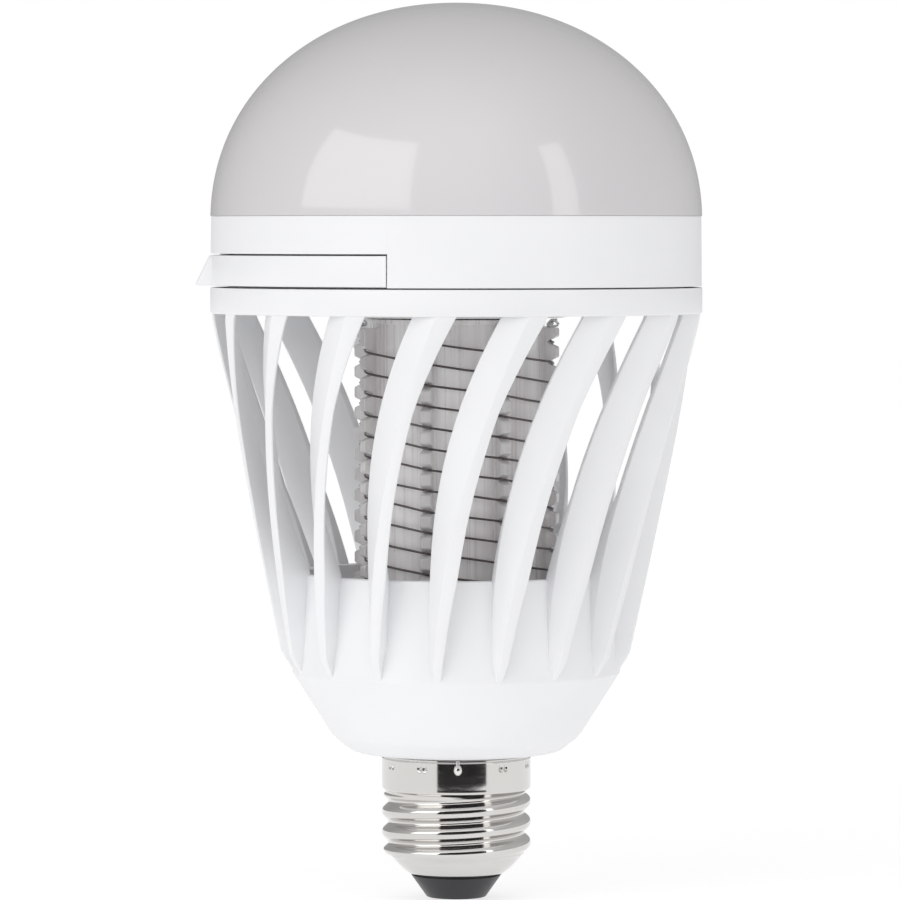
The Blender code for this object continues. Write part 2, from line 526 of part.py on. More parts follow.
def brush(white, bristle):
    """The pull-out cleaning brush: a curved handle with a finger tab and five bristle tufts."""
    pull = bpy.data.objects.new("brush_pull", None)
    pull.location = polar(COLLAR_RADIUS, BRUSH_MIDDLE, TUFT_HEIGHT)
    bpy.context.collection.objects.link(pull)
    bottom = COLLAR_BOTTOM + 0.3 * MM
    top = CHANNEL_TOP - 0.35 * MM
    inner = COLLAR_RADIUS - COLLAR_WALL + 0.2 * MM

    def outline(angle):
        in_tab = 1 - smooth_step(TAB_HALF_WIDTH - 1.5, TAB_HALF_WIDTH, abs(angle - TAB_ANGLE))
        return [(inner, bottom), (COLLAR_RADIUS + TAB_REACH * in_tab, bottom), (COLLAR_RADIUS, top), (inner, top)]

    handle = turned("brush_handle", outline, white, steps=56, start=BRUSH_START + 0.35, end=BRUSH_END - 0.35)
    head = [(CHANNEL_BORE + 0.3 * MM, TUFT_HEIGHT - 2.2 * MM), (inner + 0.5 * MM, TUFT_HEIGHT - 2.2 * MM),
            (inner + 0.5 * MM, TUFT_HEIGHT + 2.0 * MM), (CHANNEL_BORE + 0.3 * MM, TUFT_HEIGHT + 2.0 * MM)]
    combine(handle, "UNION", turned("brush_head_blank", lambda angle: head, steps=8,
                                    start=BRUSH_MIDDLE - BRUSH_HEAD_HALF_ANGLE,
                                    end=BRUSH_MIDDLE + BRUSH_HEAD_HALF_ANGLE))
    pieces = [handle]
    outward = polar(1.0, BRUSH_MIDDLE, 0.0)
    sideways = polar(1.0, BRUSH_MIDDLE + 90.0, 0.0)
    lie_down = outward.to_track_quat("Z", "Y").to_matrix().to_4x4()
    for number in range(TUFTS):
        offset = (number - 0.5 * (TUFTS - 1)) * TUFT_PITCH
        outer = math.sqrt(TUFT_OUTER ** 2 - offset ** 2)
        place = outward * (outer - TUFT_LENGTH) + sideways * offset + Vector((0.0, 0.0, TUFT_HEIGHT))
        outline_tuft = rod_outline(TUFT_RADIUS, 0.0, TUFT_LENGTH)
        pieces.append(turned_about(f"bristle_tuft_{number + 1}", outline_tuft, place, bristle, steps=10,
                                   tilt=lie_down))
    bpy.context.view_layer.update()
    for piece in pieces:
        piece.parent = pull
        piece.matrix_parent_inverse = pull.matrix_world.inverted()


def dome_point(share, base, inset):
    """(radius, height) on the dome's full, slightly squarish arc, from its top at share 0 to the base at share 1."""
    lowest = (base - DOME_CENTRE) / (DOME_HEIGHT - inset)
    height = math.cos(share * math.acos(lowest))
    radius = (DOME_RADIUS - inset) * (1.0 - abs(height) ** DOME_FULLNESS) ** (1.0 / DOME_FULLNESS)
    return radius, DOME_CENTRE + (DOME_HEIGHT - inset) * height


def light_head(opal, aluminium, board_white, led_yellow, white, steel):
    """The heat plate, the white light board with its chips and screws, and the dome over them."""
    plate_bottom = WEB_TOP + SEAT_GAP
    plate_top = plate_bottom + 1.2 * MM
    plate = [(LEAD_HOLE_RADIUS, plate_bottom), (HEAT_PLATE_RADIUS, plate_bottom), (HEAT_PLATE_RADIUS, plate_top),
             (LEAD_HOLE_RADIUS, plate_top)]
    heat_plate = turned("heat_plate", lambda angle: plate, aluminium)
    board_bottom = plate_top + SEAT_GAP
    board_top = board_bottom + BOARD_THICKNESS
    board = [(LEAD_HOLE_RADIUS, board_bottom), (LED_BOARD_RADIUS, board_bottom), (LED_BOARD_RADIUS, board_top),
             (LEAD_HOLE_RADIUS, board_top)]
    led_board = turned("white_led_board", lambda angle: board, board_white)
    for chip in range(WHITE_LEDS):
        angle = chip * FULL_TURN / WHITE_LEDS
        place = polar(WHITE_LED_RING, angle, board_top + SEAT_GAP + 0.4 * MM)
        add_block(f"white_led_{chip + 1}", (3.5 * MM, 2.8 * MM, 0.8 * MM), place, led_yellow, angle)
    add_block("led_connector", (5 * MM, 3.6 * MM, 2.6 * MM), (0.0, 8 * MM, board_top + SEAT_GAP + 1.3 * MM), white,
              bevel=0.2 * MM)
    holes = bmesh.new()
    for number in range(3):
        place = polar(14 * MM, 20.0 + number * FULL_TURN / 3, board_top + SEAT_GAP)
        add_screw(f"board_screw_{number + 1}", place, 2.4 * MM, steel)
        bmesh.ops.create_cone(holes, cap_ends=True, segments=10, radius1=0.95 * MM, radius2=0.95 * MM,
                              depth=8 * MM, matrix=Matrix.Translation(place))
    hole_cutters = add_object("board_hole_cutters", holes)
    combine(heat_plate, "DIFFERENCE", hole_cutters)
    combine(led_board, "DIFFERENCE", hole_cutters)

    base = COLLAR_TOP + SEAT_GAP
    outer = [dome_point(1 - i / 9, base, 0.0) for i in range(10)]
    inner = [dome_point(i / 6, base + 1.5 * MM, DOME_WALL) for i in range(7)]
    skirt = [(DOME_SKIRT_RADIUS - 1.2 * MM, base + 1.5 * MM), (DOME_SKIRT_RADIUS - 1.2 * MM, DOME_SKIRT_BOTTOM),
             (DOME_SKIRT_RADIUS, DOME_SKIRT_BOTTOM), (DOME_SKIRT_RADIUS, base)]
    turned("dome_diffuser", lambda angle: outer + inner + skirt, opal)


def main():
    clear_scene()
    white = make_material("white_plastic", (0.86, 0.87, 0.88), 0.35)
    opal = make_material("opal_plastic", (0.72, 0.71, 0.71), 0.18)
    clear = make_material("clear_plastic", (0.75, 0.72, 0.72), 0.12, transmission=0.8)
    nickel = make_material("nickel_shell", (0.78, 0.76, 0.74), 0.18, metallic=1.0)
    solder = make_material("tin_solder", (0.8, 0.8, 0.8), 0.25, metallic=1.0)
    wire = make_material("wire_steel", (0.25, 0.23, 0.22), 0.35, metallic=1.0)
    steel = make_material("screw_steel", (0.6, 0.6, 0.6), 0.3, metallic=1.0)
    aluminium = make_material("heat_plate_aluminium", (0.75, 0.76, 0.77), 0.4, metallic=1.0)
    black = make_material("black_insulator", (0.03, 0.03, 0.035), 0.45)
    board_green = make_material("driver_board_green", (0.05, 0.22, 0.1), 0.5)
    board_white = make_material("light_board_white", (0.85, 0.86, 0.85), 0.45)
    led_yellow = make_material("led_phosphor", (0.85, 0.72, 0.25), 0.4)
    led_violet = make_material("uv_led_window", (0.8, 0.78, 0.9), 0.25)
    yellow = make_material("transformer_tape", (0.8, 0.65, 0.1), 0.5)
    blue = make_material("capacitor_blue", (0.1, 0.2, 0.5), 0.4)
    grey = make_material("resistor_grey", (0.4, 0.42, 0.45), 0.5)
    red_wire = make_material("lead_red", (0.5, 0.03, 0.03), 0.45)
    black_wire = make_material("lead_black", (0.02, 0.02, 0.02), 0.45)
    white_wire = make_material("lead_white", (0.8, 0.8, 0.78), 0.45)
    bristle = make_material("nylon_bristle", (0.12, 0.12, 0.13), 0.6)

    screw_shell(nickel)
    cap_parts(black, nickel, solder)
    housing(white)
    driver_bay(white, board_green, black, yellow, blue, aluminium, grey, steel)
    grid_frame(clear)
    grid_wires(wire)
    grid_top(white, board_white, led_violet, nickel, steel)
    leads(red_wire, black_wire, white_wire)
    collar(white)
    brush(white, bristle)
    light_head(opal, aluminium, board_white, led_yellow, white, steel)


main()
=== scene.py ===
"""Bulb-shaped electric bug zapper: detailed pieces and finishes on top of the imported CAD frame.

Lengths written as plain numbers in outlines are millimetres, and in_metres() converts them.
Angles are in degrees around +Z, counted from the front (-Y) towards +X.
"""

import math
import random

import bmesh
import bpy
from mathutils import Matrix, Vector


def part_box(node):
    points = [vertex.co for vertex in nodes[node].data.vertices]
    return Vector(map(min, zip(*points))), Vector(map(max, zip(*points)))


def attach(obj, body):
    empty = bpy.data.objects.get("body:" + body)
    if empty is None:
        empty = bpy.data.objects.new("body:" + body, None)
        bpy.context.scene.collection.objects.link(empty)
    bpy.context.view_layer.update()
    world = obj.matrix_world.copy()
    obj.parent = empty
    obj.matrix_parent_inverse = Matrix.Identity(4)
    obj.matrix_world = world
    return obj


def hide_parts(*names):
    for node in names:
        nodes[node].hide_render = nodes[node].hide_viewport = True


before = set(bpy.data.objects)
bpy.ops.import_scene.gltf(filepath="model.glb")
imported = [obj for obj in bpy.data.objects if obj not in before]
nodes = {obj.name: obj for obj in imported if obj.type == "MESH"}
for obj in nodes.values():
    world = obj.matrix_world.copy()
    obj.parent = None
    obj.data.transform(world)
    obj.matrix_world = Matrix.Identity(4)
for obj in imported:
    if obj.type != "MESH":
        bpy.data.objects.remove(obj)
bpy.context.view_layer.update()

MM = 0.001
FULL_TURN = 360.0


# ---------------------------------------------------------------- finishes

GRAIN_DEPTH = 0.00002
BLOTCHES = 55.0
GLOSS_TO_BLOTCHES = 9.0
TUBE_TO_POSTS = (15.7 * MM, 16.5 * MM)
CLEAR_PLASTIC_IOR = 1.49


def new_material(name):
    material = bpy.data.materials.new(name)
    material.use_nodes = True
    tree = material.node_tree
    return material, tree, tree.nodes["Principled BSDF"]


def noise(tree, scale, detail=4.0, stretch=(1.0, 1.0, 1.0)):
    """Noise in the piece's own coordinates, with this many features to a metre."""
    place = tree.nodes.new("ShaderNodeTexCoord")
    mapping = tree.nodes.new("ShaderNodeMapping")
    mapping.inputs["Scale"].default_value = stretch
    texture = tree.nodes.new("ShaderNodeTexNoise")
    texture.inputs["Scale"].default_value = scale
    texture.inputs["Detail"].default_value = detail
    tree.links.new(place.outputs["Object"], mapping.inputs["Vector"])
    tree.links.new(mapping.outputs["Vector"], texture.inputs["Vector"])
    return texture.outputs["Fac"]


def spread(tree, value, low, high):
    """Maps the middle of a noise to the range from low to high."""
    node = tree.nodes.new("ShaderNodeMapRange")
    node.inputs["From Min"].default_value = 0.3
    node.inputs["From Max"].default_value = 0.7
    node.inputs["To Min"].default_value = low
    node.inputs["To Max"].default_value = high
    tree.links.new(value, node.inputs["Value"])
    return node.outputs["Result"]


def mix_colour(tree, value, first, second):
    node = tree.nodes.new("ShaderNodeMix")
    node.data_type = "RGBA"
    node.inputs["A"].default_value = (*first, 1.0)
    node.inputs["B"].default_value = (*second, 1.0)
    tree.links.new(value, node.inputs["Factor"])
    return node.outputs["Result"]


def mix_value(tree, value, first, second):
    """Goes from first, a number or a socket, to the number second."""
    node = tree.nodes.new("ShaderNodeMix")
    node.data_type = "FLOAT"
    tree.links.new(value, node.inputs["Factor"])
    if isinstance(first, float):
        node.inputs["A"].default_value = first
    else:
        tree.links.new(first, node.inputs["A"])
    node.inputs["B"].default_value = second
    return node.outputs["Result"]


def bump(tree, shader, value, strength, distance):
    node = tree.nodes.new("ShaderNodeBump")
    node.inputs["Strength"].default_value = strength
    node.inputs["Distance"].default_value = distance
    tree.links.new(value, node.inputs["Height"])
    tree.links.new(node.outputs["Normal"], shader.inputs["Normal"])


def finish(name, colour, roughness, shade=0.94, metallic=0.0, grain=2600.0, grain_strength=0.12,
           stretch=(1.0, 1.0, 1.0), **sockets):
    """A moulded, cast or rolled surface: faint colour blotches, uneven gloss and a fine grain."""
    material, tree, shader = new_material(name)
    darker = tuple(channel * shade for channel in colour)
    blotches = spread(tree, noise(tree, BLOTCHES, 3.0), 0.0, 1.0)
    tree.links.new(mix_colour(tree, blotches, darker, colour), shader.inputs["Base Color"])
    gloss = noise(tree, BLOTCHES * GLOSS_TO_BLOTCHES, 5.0, stretch)
    tree.links.new(spread(tree, gloss, *roughness), shader.inputs["Roughness"])
    bump(tree, shader, noise(tree, grain, 3.0, stretch), grain_strength, GRAIN_DEPTH)
    shader.inputs["Metallic"].default_value = metallic
    for socket, value in sockets.items():
        shader.inputs[socket.replace("_", " ")].default_value = value
    return material


def axis_distance(tree):
    """How far a point is from the bulb's axis, in metres."""
    place = tree.nodes.new("ShaderNodeTexCoord")
    flat = tree.nodes.new("ShaderNodeVectorMath")
    flat.operation = "MULTIPLY"
    flat.inputs[1].default_value = (1.0, 1.0, 0.0)
    tree.links.new(place.outputs["Object"], flat.inputs[0])
    length = tree.nodes.new("ShaderNodeVectorMath")
    length.operation = "LENGTH"
    tree.links.new(flat.outputs["Vector"], length.inputs[0])
    return length.outputs["Value"]


def clear_plastic():
    """Clear moulded plastic: a tube with upright streaks that blur what lies behind it, and clearer posts.
    Its lighter colour streaks and bands are partly the plastic's uneven tone and partly painted highlight
    streaks.
    """
    material, tree, shader = new_material("clear_grid")
    border = tree.nodes.new("ShaderNodeMapRange")
    border.inputs["From Min"].default_value = TUBE_TO_POSTS[0]
    border.inputs["From Max"].default_value = TUBE_TO_POSTS[1]
    tree.links.new(axis_distance(tree), border.inputs["Value"])
    in_post = border.outputs["Result"]
    streaks = noise(tree, 1300.0, 4.0, (1.0, 1.0, 0.01))
    bands_and_painted_highlights = noise(tree, 260.0, 3.0, (1.0, 1.0, 0.16))
    roughness = mix_value(tree, in_post, spread(tree, streaks, 0.22, 0.4), 0.08)
    tree.links.new(roughness, shader.inputs["Roughness"])
    # The colour runs from pinkish grey to near white along random bands and upright streaks: partly the
    # plastic's own uneven tone, partly painted highlight streaks.
    lightness_and_painted_highlights = tree.nodes.new("ShaderNodeMath")
    lightness_and_painted_highlights.operation = "ADD"
    tree.links.new(spread(tree, bands_and_painted_highlights, -0.1, 0.7), lightness_and_painted_highlights.inputs[0])
    tree.links.new(spread(tree, streaks, 0.0, 0.45), lightness_and_painted_highlights.inputs[1])
    tone_and_painted_highlights = mix_colour(tree, lightness_and_painted_highlights.outputs[0], (0.74, 0.70, 0.705), (1.0, 0.99, 0.99))
    tree.links.new(tone_and_painted_highlights, shader.inputs["Base Color"])
    tree.links.new(mix_value(tree, in_post, 0.08, 0.36), shader.inputs["Transmission Weight"])
    bump(tree, shader, streaks, 0.25, 0.0001)
    shader.inputs["IOR"].default_value = CLEAR_PLASTIC_IOR
    return material


def make_finishes():
    """One material for each substance, by a short key."""
    made = {}
    made["white"] = finish("moulded_white", (0.86, 0.868, 0.885), (0.34, 0.44), shade=0.975)
    made["opal"] = finish("opal_dome", (0.65, 0.636, 0.652), (0.13, 0.17), shade=0.985, grain_strength=0.02,
                          Coat_Weight=1.0, Coat_Roughness=0.05)
    made["clear"] = clear_plastic()
    made["nickel"] = finish("nickel_plate", (0.69, 0.676, 0.66), (0.07, 0.13), metallic=1.0, shade=0.96,
                            grain=700.0, grain_strength=0.05, stretch=(1.0, 1.0, 4.0))
    made["tin"] = finish("soft_tin", (0.82, 0.82, 0.81), (0.14, 0.28), metallic=1.0, grain=1800.0)
    made["wire"] = finish("bare_wire", (0.15, 0.13, 0.13), (0.25, 0.4), metallic=1.0, grain=4000.0)
    made["steel"] = finish("zinc_screw", (0.58, 0.58, 0.6), (0.22, 0.38), metallic=1.0)
    made["aluminium"] = finish("aluminium_sheet", (0.74, 0.75, 0.76), (0.3, 0.45), metallic=1.0,
                               stretch=(1.0, 14.0, 14.0))
    made["black"] = finish("black_insulator", (0.022, 0.022, 0.026), (0.3, 0.42), shade=0.8, grain=1500.0)
    made["green"] = finish("solder_mask_green", (0.03, 0.16, 0.07), (0.3, 0.45), shade=0.75)
    made["mask"] = finish("solder_mask_white", (0.80, 0.81, 0.80), (0.35, 0.5), shade=0.93)
    made["phosphor"] = finish("led_phosphor", (0.85, 0.66, 0.16), (0.3, 0.45), shade=0.85)
    made["lens"] = finish("led_window", (0.86, 0.85, 0.95), (0.08, 0.16), shade=0.9, Transmission_Weight=0.5)
    made["tape"] = finish("coil_tape", (0.80, 0.58, 0.08), (0.25, 0.4), shade=0.85)
    made["blue"] = finish("dipped_blue", (0.05, 0.14, 0.42), (0.15, 0.3), shade=0.8)
    made["cement"] = finish("cement_grey", (0.34, 0.36, 0.38), (0.6, 0.8), shade=0.8, grain=1200.0)
    made["lead_black"] = finish("lead_black", (0.025, 0.024, 0.026), (0.35, 0.5), shade=0.7)
    made["lead_white"] = finish("lead_white", (0.74, 0.74, 0.72), (0.35, 0.5), shade=0.9)
    made["nylon"] = finish("nylon_bristle", (0.05, 0.05, 0.055), (0.3, 0.5), shade=0.6)
    return made


# ---------------------------------------------------------------- shapes

STRAIGHT_CORNER = math.radians(178)
LONGEST_REACH = 0.45
SAME_POINT = 1e-9


def in_metres(points):
    """Points or corners given in millimetres."""
    return [tuple(value * MM for value in point) for point in points]


def polar(radius, angle, height):
    turn = math.radians(angle)
    return Vector((radius * math.sin(turn), -radius * math.cos(turn), height))


def smooth_step(low, high, value):
    share = min(1.0, max(0.0, (value - low) / (high - low)))
    return share * share * (3.0 - 2.0 * share)


def rounded(corners, steps=4):
    """Replaces each (x, y, radius) corner of a closed outline by an arc of that radius."""
    outline = []
    count = len(corners)
    for i, (x, y, radius) in enumerate(corners):
        here = Vector((x, y))
        before = Vector(corners[i - 1][:2]) - here
        after = Vector(corners[(i + 1) % count][:2]) - here
        if radius <= 0.0 or min(before.length, after.length) < SAME_POINT:
            outline.append((x, y))
            continue
        before_way = before.normalized()
        after_way = after.normalized()
        angle = before_way.angle(after_way)
        if angle > STRAIGHT_CORNER:
            outline.append((x, y))
            continue
        reach = min(radius / math.tan(angle / 2), LONGEST_REACH * before.length, LONGEST_REACH * after.length)
        radius = reach * math.tan(angle / 2)
        centre = here + (before_way + after_way).normalized() * radius / math.sin(angle / 2)
        start = here + before_way * reach - centre
        end = here + after_way * reach - centre
        sweep = start.angle_signed(end)
        for step in range(steps + 1):
            turned_by = -sweep * step / steps
            cos, sin = math.cos(turned_by), math.sin(turned_by)
            outline.append((centre.x + start.x * cos - start.y * sin,
                            centre.y + start.x * sin + start.y * cos))
    return outline


class Shape:
    """Vertices and faces of one piece, built up from lofts."""

    def __init__(self):
        self.verts = []
        self.faces = []

    def loft(self, sections, closed=False):
        """A skin over the sections, with both ends filled unless the last joins the first."""
        start = len(self.verts)
        size = len(sections[0])
        for section in sections:
            self.verts.extend(section)
        rows = len(sections)
        for row in range(rows if closed else rows - 1):
            low = start + row * size
            high = start + ((row + 1) % rows) * size
            for i in range(size):
                j = (i + 1) % size
                self.faces.append((low + i, low + j, high + j, high + i))
        if not closed:
            self.faces.append(tuple(start + i for i in range(size)))
            self.faces.append(tuple(start + (rows - 1) * size + i for i in range(size)))

    def turn(self, outline, steps=192, start=0.0, end=FULL_TURN, angles=None):
        """Turns a closed (radius, height) outline about Z. The outline may be a function of the angle."""
        outline_at = outline if callable(outline) else lambda angle: outline
        full = end - start >= FULL_TURN
        if angles is None:
            angles = [start + (end - start) * i / steps for i in range(steps if full else steps + 1)]
        self.loft([[polar(r, angle, z) for r, z in outline_at(angle)] for angle in angles], closed=full)

    def tube(self, points, radius, sides=10):
        """A round wire through the points, with flat ends."""
        points = [Vector(p) for p in points]
        ring = [2 * math.pi * k / sides for k in range(sides)]
        sections = []
        across = None
        for i, point in enumerate(points):
            ahead = points[min(i + 1, len(points) - 1)] - points[max(i - 1, 0)]
            along = ahead.normalized()
            if across is None:
                across = along.orthogonal().normalized()
            across = (across - along * across.dot(along)).normalized()
            up = along.cross(across)
            sections.append([point + radius * (math.cos(turn) * across + math.sin(turn) * up)
                             for turn in ring])
        self.loft(sections)

    def lathe_at(self, outline, steps, place):
        """Turns an outline that touches its axis about Z, then moves it by the matrix."""
        first = len(self.verts)
        self.turn(outline, steps=steps)
        for i in range(first, len(self.verts)):
            self.verts[i] = place @ self.verts[i]

    def block(self, size, place, rounding):
        """A box with rounded upright edges and eased upper and lower edges."""
        x, y, z = (s / 2 for s in size)
        ease = rounding * 0.45

        def level(height, inset):
            corners = [(-x + inset, -y + inset, rounding), (x - inset, -y + inset, rounding),
                       (x - inset, y - inset, rounding), (-x + inset, y - inset, rounding)]
            return [place @ Vector((px, py, height)) for px, py in rounded(corners, 4)]

        self.loft([level(-z, ease), level(-z + ease, 0.0), level(z - ease, 0.0), level(z, ease)])

    def build(self, name, material, sharp=35.0):
        """The piece as an object, smooth except along edges that turn by more than sharp degrees."""
        mesh = bpy.data.meshes.new(name)
        mesh.from_pydata([tuple(v) for v in self.verts], [], self.faces)
        bm = bmesh.new()
        bm.from_mesh(mesh)
        bmesh.ops.remove_doubles(bm, verts=bm.verts, dist=1e-7)
        bmesh.ops.dissolve_degenerate(bm, edges=bm.edges, dist=1e-8)
        bmesh.ops.recalc_face_normals(bm, faces=bm.faces)
        bm.to_mesh(mesh)
        bm.free()
        mesh.shade_smooth()
        mesh.set_sharp_from_angle(angle=math.radians(sharp))
        mesh.materials.append(material)
        part = bpy.data.objects.new(name, mesh)
        bpy.context.scene.collection.objects.link(part)
        return part


def combine(part, other, operation, sharp):
    """Joins the other object to the piece (UNION) or cuts it out (DIFFERENCE) for good, and removes it."""
    boolean = part.modifiers.new("combine", "BOOLEAN")
    boolean.operation = operation
    boolean.object = other
    boolean.solver = "EXACT"
    bpy.context.view_layer.update()
    graph = bpy.context.evaluated_depsgraph_get()
    mesh = bpy.data.meshes.new_from_object(part.evaluated_get(graph))
    part.modifiers.clear()
    part.data = mesh
    bpy.data.objects.remove(other, do_unlink=True)
    mesh.set_sharp_from_angle(angle=math.radians(sharp))


def place_piece(part, slot, *replaced, body="bulb"):
    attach(part, body)
    if replaced:
        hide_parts(*replaced)


# ---------------------------------------------------------------- housing

FIN_COUNT = 17
FIN_FIRST_ANGLE = -28.78
FIN_BOTTOM = 38.6 * MM
FIN_TIP = 39.5 * MM
FIN_TOP = 103.9 * MM
FIN_SPAN = 62.6 * MM
FIN_LEVELS = 64
FIN_ROOT = 27.4 * MM
# How a fin changes along its height: widths and depths in millimetres, turns in degrees
FIN_SWEEP = 23.7
LAND_WIDTH = 1.2
LAND_WIDENING = 1.3
LAND_FLARE = 2.0
FLANK_START = 0.5
FLANK_TURN = 7.0
FIN_DEPTH = 0.4
FIN_DEEPENING = 3.2
FIN_THINNING = 1.5
EDGE_WIDTH = 1.3
EDGE_THICKENING = 1.4
# The cage's outline
CAGE_FOOT = 43.4 * MM
CAGE_FOOT_RADIUS = 30.83 * MM
CAGE_SLOPE = 0.205
BOWL_SLOPE = 0.64
EDGE_SLOPE = 0.36
RING_RADIUS = 43.15 * MM
DRUM_RIM = 57.6 * MM
HOUSING_STEPS = 204


def fin_outer(height):
    """Radius of the fins' outer lands: the bowl's slope up to the cage's foot, then the cage's own slope."""
    if height < CAGE_FOOT:
        return CAGE_FOOT_RADIUS - BOWL_SLOPE * (CAGE_FOOT - height)
    return min(CAGE_FOOT_RADIUS + CAGE_SLOPE * (height - CAGE_FOOT), RING_RADIUS - 0.25 * MM)


def fin_section(height, first_angle):
    """One level of a fin: outer land, slanting flank, side and the edge that faces the grid."""
    share = max(0.0, (height - FIN_TIP) / FIN_SPAN)
    outer = fin_outer(height)
    left = first_angle + FIN_SWEEP * share ** 1.5
    widening = LAND_WIDENING * min(1.0, share / 0.3) ** 0.8
    flare = LAND_FLARE * max(0.0, (share - 0.75) / 0.25) ** 1.3
    land = (LAND_WIDTH + widening + flare) * MM
    right = left + math.degrees(land / outer)
    flank_left = left - (FLANK_START + FLANK_TURN * math.sin(0.5 * math.pi * share / 0.7))
    rise = math.sin(0.5 * math.pi * min(1.0, (share / 0.4) ** 0.6))
    depth = (FIN_DEPTH + FIN_DEEPENING * rise - FIN_THINNING * max(0.0, (share - 0.4) / 0.6)) * MM
    flank = max(outer - depth, FIN_ROOT + 0.4 * MM)
    climb = FIN_ROOT + EDGE_SLOPE * max(0.0, height - DRUM_RIM)
    edge = min(climb, flank - 0.8 * MM) if height > DRUM_RIM else min(FIN_ROOT, flank - 0.3 * MM)
    in_foot = 1 - smooth_step(55.0 * MM, 70.0 * MM, height)
    edge_width = (EDGE_WIDTH + EDGE_THICKENING * in_foot) * min(1.0, 0.3 + share / 0.15) * MM
    edge_right = flank_left + math.degrees(edge_width / edge)
    corners = ((outer, right, 0.3), (outer, left, 0.22), (flank, flank_left, 0.25),
               (edge, flank_left, 0.25), (edge, edge_right, 0.35))
    flat = []
    for radius, angle, rounding in corners:
        point = polar(radius, angle, 0.0)
        flat.append((point.x, point.y, rounding * MM))
    return [Vector((x, y, height)) for x, y in rounded(flat, 3)]


def make_housing(white):
    """Bowl, inner drum, swept fins and top ring of the white moulding."""
    shape = Shape()
    bowl = [
        (12.35, 20.0, 0), (12.35, 25.9, 0.3), (18.2, 25.95, 3.0), (21.7, 28.7, 6.0), (28.85, 39.95, 0.5),
        (28.2, 57.6, 0.4), (26.75, 57.6, 0.4), (26.6, 45.2, 0), (24.8, 45.2, 0), (24.8, 38.6, 0),
        (20.9, 31.2, 0), (16.5, 27.6, 0), (10.4, 26.8, 0), (10.4, 20.0, 0),
    ]
    shape.turn(rounded(in_metres(bowl), 7), steps=HOUSING_STEPS)
    ring = [(40.3, 102.95, 0.3), (43.15, 102.9, 0.35), (43.15, 107.45, 0.12), (40.3, 107.45, 0.1)]
    shape.turn(rounded(in_metres(ring), 4), steps=HOUSING_STEPS)
    levels = [FIN_BOTTOM + (FIN_TOP - FIN_BOTTOM) * i / FIN_LEVELS for i in range(FIN_LEVELS + 1)]
    for fin in range(FIN_COUNT):
        first_angle = FIN_FIRST_ANGLE + fin * FULL_TURN / FIN_COUNT
        shape.loft([fin_section(height, first_angle) for height in levels])
    place_piece(shape.build("fin_cage", white, sharp=38.0), "white_plastic", "fin_cage_housing")


# ---------------------------------------------------------------- collar, brush and dome

COLLAR_BOTTOM = 107.7 * MM
COLLAR_TOP = 119.9 * MM
COLLAR_RADIUS = 43.05 * MM
COLLAR_INNER = 41.2 * MM
CHANNEL_TOP = 113.4 * MM
BRUSH_START = -103.0
BRUSH_END = -15.7
BRUSH_MIDDLE = 0.5 * (BRUSH_START + BRUSH_END)
TAB_ANGLE = -90.0
TAB_REACH = 2.8 * MM
TUFT_HEIGHT = 110.9 * MM
TUFT_COUNT = 5
TUFT_PITCH = 2.9 * MM
TUFT_SEAT = 38.9 * MM
TUFT_RADIUS = 0.62 * MM
TUFT_SPLAY = 0.40 * MM
BRISTLES_IN_TUFT = 46
BRISTLE_PARTS = 4
BRISTLE_RADIUS = 0.055 * MM
BRISTLE_LENGTHS = (11.2 * MM, 12.1 * MM)
HEAD_HALF_ANGLE = 10.5


def collar_section(angle, in_window):
    """The collar's outline at an angle. In the brush's window its outer wall starts above the brush."""
    wall_foot = CHANNEL_TOP if in_window else COLLAR_BOTTOM
    inside = [(3.5, 107.7), (37.2, 107.7), (37.2, 104.8), (39.9, 104.8), (39.9, 107.7), (38.7, 107.7),
              (38.7, 113.4), (41.2, 113.4)]
    outside = [(42.95, 119.84), (42.9, 119.9), (41.2, 119.9), (41.2, 115.0), (37.2, 115.0), (37.2, 109.2),
               (3.5, 109.2)]
    foot = [(COLLAR_INNER, wall_foot), (COLLAR_RADIUS - 0.05 * MM, wall_foot),
            (COLLAR_RADIUS, wall_foot + 0.05 * MM)]
    return [polar(r, angle, z) for r, z in in_metres(inside) + foot + in_metres(outside)]


def make_collar(white):
    """The collar as one closed skin, with the slot that the bristles pass through cut out of it."""
    window = [BRUSH_START, *range(-102, -15, 2), BRUSH_END]
    rest = [BRUSH_END, *range(-14, 257, 2), BRUSH_START + FULL_TURN]
    sections = [collar_section(angle, True) for angle in window]
    sections += [collar_section(angle, False) for angle in rest]
    shape = Shape()
    shape.loft(sections, closed=True)
    collar = shape.build("collar_body", white)
    slot = Shape()
    facing = Matrix.Rotation(math.radians(BRUSH_MIDDLE), 4, "Z")
    place = Matrix.Translation(polar(37.8 * MM, BRUSH_MIDDLE, TUFT_HEIGHT)) @ facing
    slot.block((15.3 * MM, 4 * MM, 3.6 * MM), place, 0.3 * MM)
    combine(collar, slot.build("slot_cutter", white), "DIFFERENCE", sharp=38)
    place_piece(collar, "white_plastic", "collar_ring")


